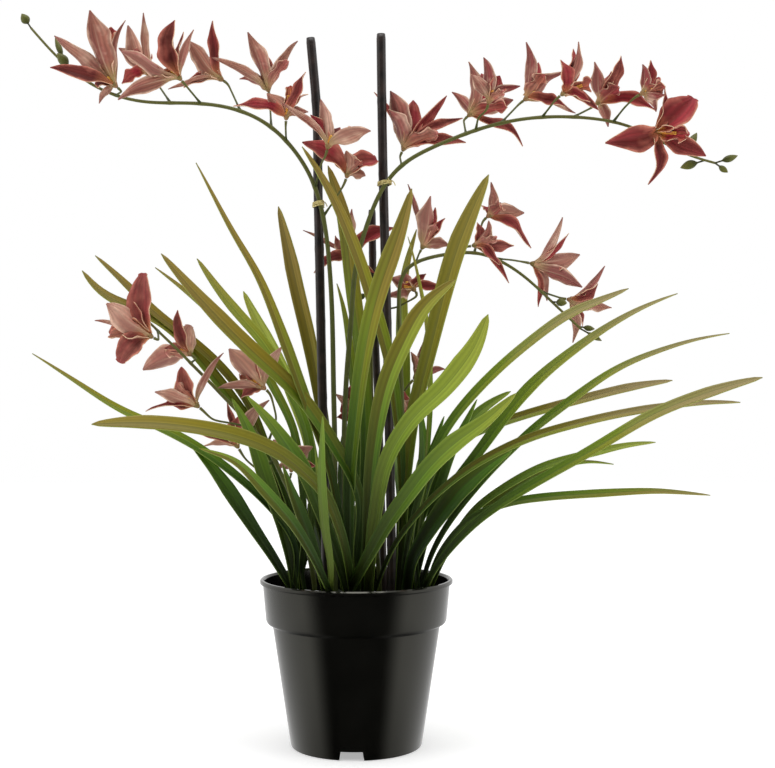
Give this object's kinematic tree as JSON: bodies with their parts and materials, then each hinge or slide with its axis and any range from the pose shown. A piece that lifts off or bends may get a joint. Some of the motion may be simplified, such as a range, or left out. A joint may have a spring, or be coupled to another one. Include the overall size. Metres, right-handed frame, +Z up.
{
  "type": "potted cymbidium orchid",
  "caption": "Orchid with strap leaves and arching sprays of rose blooms, tied to canes and standing in a round black nursery pot.",
  "frame": {"origin": "middle of the round pad under the pot, on the floor plane, on the pot's axis", "axes": "+Z up along the pot's axis, -Y towards the viewer of the picture, +X to the viewer's right"},
  "size_m": [0.713, 0.4682, 0.7326],
  "materials": {
    "pot_plastic": "glossy black",
    "soil": "rough dark bark and soil",
    "cane": "satin, nearly black",
    "raffia": "matte, fibrous",
    "leaf": "satin",
    "stem": "satin",
    "petal": "soft matte"
  },
  "bodies": {
    "root": {"bloom_a1": "petal", "bloom_a2": "petal", "bloom_a3": "petal", "bloom_a4": "petal", "bloom_a5": "petal", "bloom_a6": "petal", "bloom_a7": "petal", "bloom_a8": "petal", "bloom_b1": "petal", "bloom_b2": "petal", "bloom_b3": "petal", "bloom_b4": "petal", "bloom_b5": "petal", "bloom_b6": "petal", "bloom_b7": "petal", "bloom_b8": "petal", "bloom_c1": "petal", "bloom_c2": "petal", "bloom_c3": "petal", "bloom_c4": "petal", "bloom_c5": "petal", "bloom_d1": "petal", "bloom_d2": "petal", "bloom_d3": "petal", "bloom_d4": "petal", "bloom_d5": "petal", "bloom_d6": "petal", "bloom_e1": "petal", "bloom_e2": "petal", "bloom_e3": "petal", "bloom_e4": "petal", "bloom_e5": "petal", "cane_back": "cane", "cane_left": "cane", "cane_right": "cane", "pot": "pot_plastic", "shoot_01": "leaf", "shoot_02": "leaf", "shoot_03": "leaf", "shoot_04": "leaf", "shoot_05": "leaf", "shoot_06": "leaf", "shoot_07": "leaf", "shoot_08": "leaf", "shoot_09": "leaf", "shoot_10": "leaf", "shoot_11": "leaf", "shoot_12": "leaf", "shoot_13": "leaf", "shoot_14": "leaf", "shoot_15": "leaf", "soil": "soil", "stem_back": "stem", "stem_left": "stem", "stem_right": "stem", "stem_upper_left": "stem", "stem_upper_right": "stem", "tie_left": "raffia", "tie_right": "raffia"}
  },
  "joints": []
}
